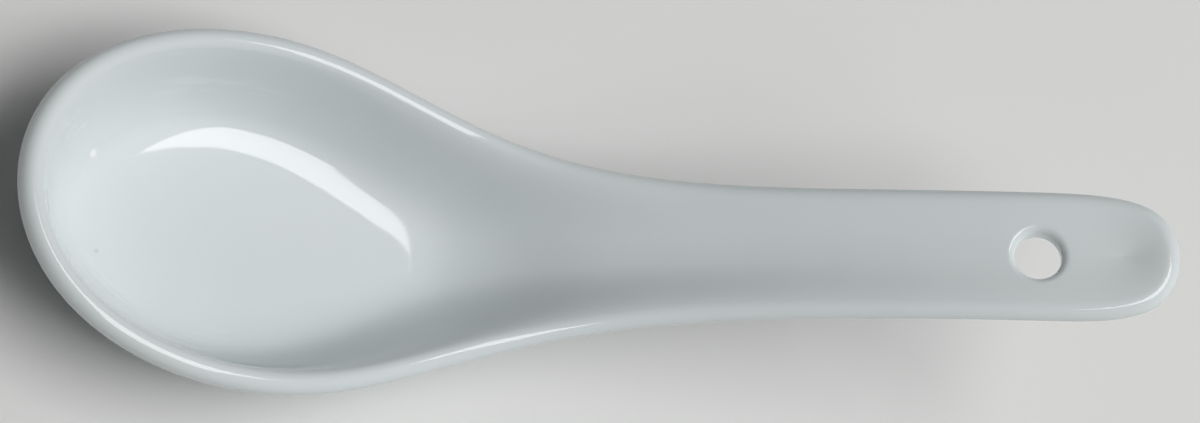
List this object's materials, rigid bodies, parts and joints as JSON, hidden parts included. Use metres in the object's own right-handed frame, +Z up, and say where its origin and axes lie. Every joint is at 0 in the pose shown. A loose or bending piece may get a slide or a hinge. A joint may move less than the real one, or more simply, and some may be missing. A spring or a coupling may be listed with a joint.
{
  "type": "soup spoon",
  "caption": "White glazed porcelain soup spoon with a deep egg-shaped bowl, a flat foot and a channelled rising handle with a hanging hole.",
  "frame": {"origin": "on the resting plane, in the flat foot's plane, straight below the widest place of the bowl", "axes": "+X along the spoon towards the end of the handle, +Z up out of the bowl, Y across the bowl"},
  "size_m": [0.135, 0.0434, 0.0424],
  "materials": {
    "glazed_porcelain": "clear gloss glaze over white porcelain, unglazed at the flat of the foot"
  },
  "bodies": {
    "root": {"spoon": "glazed_porcelain"}
  },
  "joints": []
}
